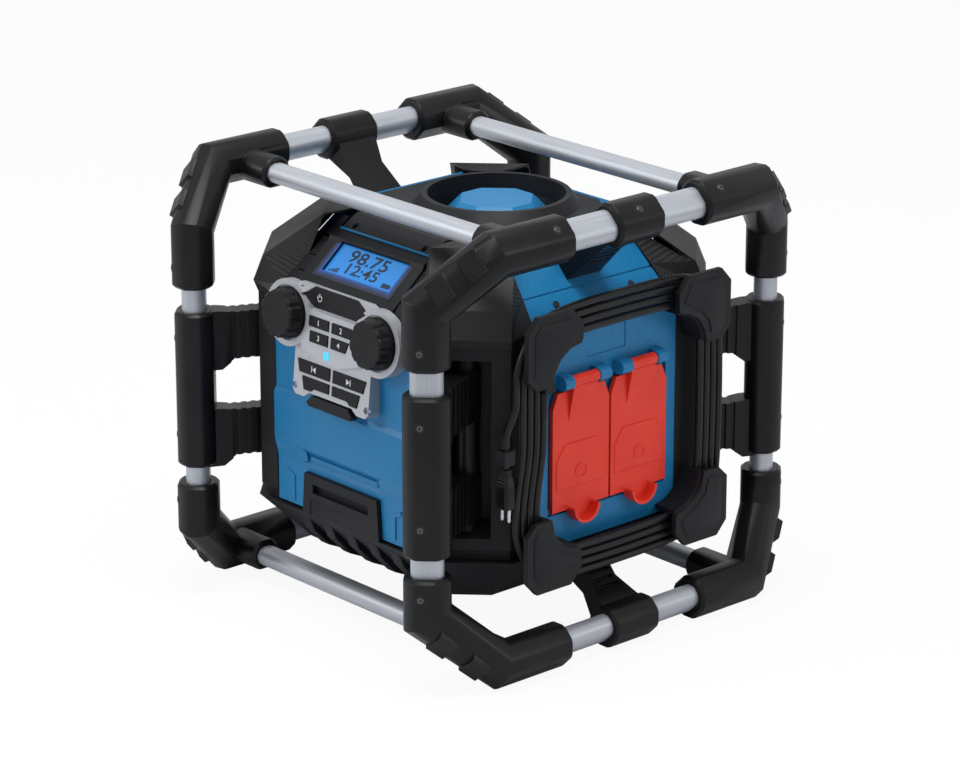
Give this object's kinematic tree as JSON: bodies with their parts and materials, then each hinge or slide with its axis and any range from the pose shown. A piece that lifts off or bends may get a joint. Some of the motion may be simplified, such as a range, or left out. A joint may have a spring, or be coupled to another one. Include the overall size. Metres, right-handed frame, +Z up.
{
  "type": "jobsite radio",
  "caption": "Eight-sided speaker radio held by ribbed arms inside a roll cage of tubes and elbows, with knobs, keys, a display, covered outlets and a wound power cord.",
  "frame": {"origin": "on the floor under the middle of the cage", "axes": "+Z up; the controls face -Y; the side with the two covered outlets faces +X"},
  "size_m": [0.409, 0.436, 0.399],
  "materials": {
    "black_plastic": "satin",
    "dark_plastic": "matt",
    "grille": "matt, perforated",
    "aluminium_tube": "satin anodised",
    "silver_plate": "satin silver",
    "blue_plastic": "satin",
    "red_plastic": "satin",
    "steel": "plain",
    "speaker": "matt",
    "board": "satin",
    "display": "backlit",
    "light": "clear blue",
    "cord": "satin"
  },
  "bodies": {
    "radio": {"chassis": "dark_plastic", "corner_housings": "dark_plastic", "speaker_grilles": "grille", "speaker_drivers": "speaker", "subwoofer": "speaker", "well_boss": "blue_plastic", "front_fascia": "blue_plastic", "outlet_panel": "blue_plastic", "left_panel": "blue_plastic", "rear_panel": "blue_plastic", "rear_cover": "dark_plastic", "control_plate": "silver_plate", "status_light": "light", "port_bezel": "dark_plastic", "base_skirt": "dark_plastic", "display_hood": "dark_plastic", "display": "display", "circuit_board": "board", "top_cover": "dark_plastic", "post_tubes": "aluminium_tube", "side_tubes": "aluminium_tube", "cross_tubes": "aluminium_tube", "hinge_pins": "steel", "socket_inserts": "dark_plastic", "cord_hooks": "dark_plastic", "cord": "cord", "cord_gland": "dark_plastic", "plug": "dark_plastic", "cord_clip": "dark_plastic", "side_bracket_top_left": "black_plastic", "elbow_top_front_left": "black_plastic", "elbow_top_rear_left": "black_plastic", "side_bracket_top_right": "black_plastic", "elbow_top_front_right": "black_plastic", "elbow_top_rear_right": "black_plastic", "side_bracket_bottom_left": "black_plastic", "elbow_bottom_front_left": "black_plastic", "elbow_bottom_rear_left": "black_plastic", "side_bracket_bottom_right": "black_plastic", "elbow_bottom_front_right": "black_plastic", "elbow_bottom_rear_right": "black_plastic", "post_sleeve_front_left": "black_plastic", "post_sleeve_front_right": "black_plastic", "post_sleeve_rear_left": "black_plastic", "post_sleeve_rear_right": "black_plastic"},
    "knob_left": {"knob_left": "dark_plastic"},
    "knob_right": {"knob_right": "dark_plastic"},
    "power_key": {"power_key": "dark_plastic"},
    "preset_key_1": {"preset_key_1": "dark_plastic"},
    "preset_key_2": {"preset_key_2": "dark_plastic"},
    "preset_key_3": {"preset_key_3": "dark_plastic"},
    "preset_key_4": {"preset_key_4": "dark_plastic"},
    "previous_key": {"previous_key": "dark_plastic"},
    "next_key": {"next_key": "dark_plastic"},
    "lower_left_key": {"lower_left_key": "dark_plastic"},
    "lower_right_key": {"lower_right_key": "dark_plastic"},
    "bottom_key": {"bottom_key": "dark_plastic"},
    "flap_a": {"flap_a": "red_plastic"},
    "flap_b": {"flap_b": "red_plastic"}
  },
  "joints": [
    {"name": "knob_left_turn", "type": "hinge", "parent": "radio", "child": "knob_left", "pos_m": [-0.0589, -0.16706, 0.2769], "axis": [0, -0.9951, 0.0993], "continuous": true},
    {"name": "knob_right_turn", "type": "hinge", "parent": "radio", "child": "knob_right", "pos_m": [0.0589, -0.16706, 0.2769], "axis": [0, -0.9951, 0.0993], "continuous": true},
    {"name": "power_key_press", "type": "slide", "parent": "radio", "child": "power_key", "axis": [0, 0.9951, -0.0993], "range_m": [0, 0.0012], "stiffness_N_per_m": 800},
    {"name": "preset_key_1_press", "type": "slide", "parent": "radio", "child": "preset_key_1", "axis": [0, 0.9951, -0.0993], "range_m": [0, 0.0012], "stiffness_N_per_m": 800},
    {"name": "preset_key_2_press", "type": "slide", "parent": "radio", "child": "preset_key_2", "axis": [0, 0.9951, -0.0993], "range_m": [0, 0.0012], "stiffness_N_per_m": 800},
    {"name": "preset_key_3_press", "type": "slide", "parent": "radio", "child": "preset_key_3", "axis": [0, 0.9951, -0.0993], "range_m": [0, 0.0012], "stiffness_N_per_m": 800},
    {"name": "preset_key_4_press", "type": "slide", "parent": "radio", "child": "preset_key_4", "axis": [0, 0.9951, -0.0993], "range_m": [0, 0.0012], "stiffness_N_per_m": 800},
    {"name": "previous_key_press", "type": "slide", "parent": "radio", "child": "previous_key", "axis": [0, 0.9951, -0.0993], "range_m": [0, 0.0012], "stiffness_N_per_m": 800},
    {"name": "next_key_press", "type": "slide", "parent": "radio", "child": "next_key", "axis": [0, 0.9951, -0.0993], "range_m": [0, 0.0012], "stiffness_N_per_m": 800},
    {"name": "lower_left_key_press", "type": "slide", "parent": "radio", "child": "lower_left_key", "axis": [0, 0.9951, -0.0993], "range_m": [0, 0.0012], "stiffness_N_per_m": 800},
    {"name": "lower_right_key_press", "type": "slide", "parent": "radio", "child": "lower_right_key", "axis": [0, 0.9951, -0.0993], "range_m": [0, 0.0012], "stiffness_N_per_m": 800},
    {"name": "bottom_key_press", "type": "slide", "parent": "radio", "child": "bottom_key", "axis": [0, 0.9951, -0.0993], "range_m": [0, 0.0012], "stiffness_N_per_m": 800},
    {"name": "flap_a_hinge", "type": "hinge", "parent": "radio", "child": "flap_a", "pos_m": [0.1676, -0.034, 0.2435], "axis": [0, -1, 0], "range_deg": [0, 110], "stiffness_Nm_per_rad": 0.02},
    {"name": "flap_b_hinge", "type": "hinge", "parent": "radio", "child": "flap_b", "pos_m": [0.1676, 0.034, 0.2435], "axis": [0, -1, 0], "range_deg": [0, 110], "stiffness_Nm_per_rad": 0.02}
  ]
}
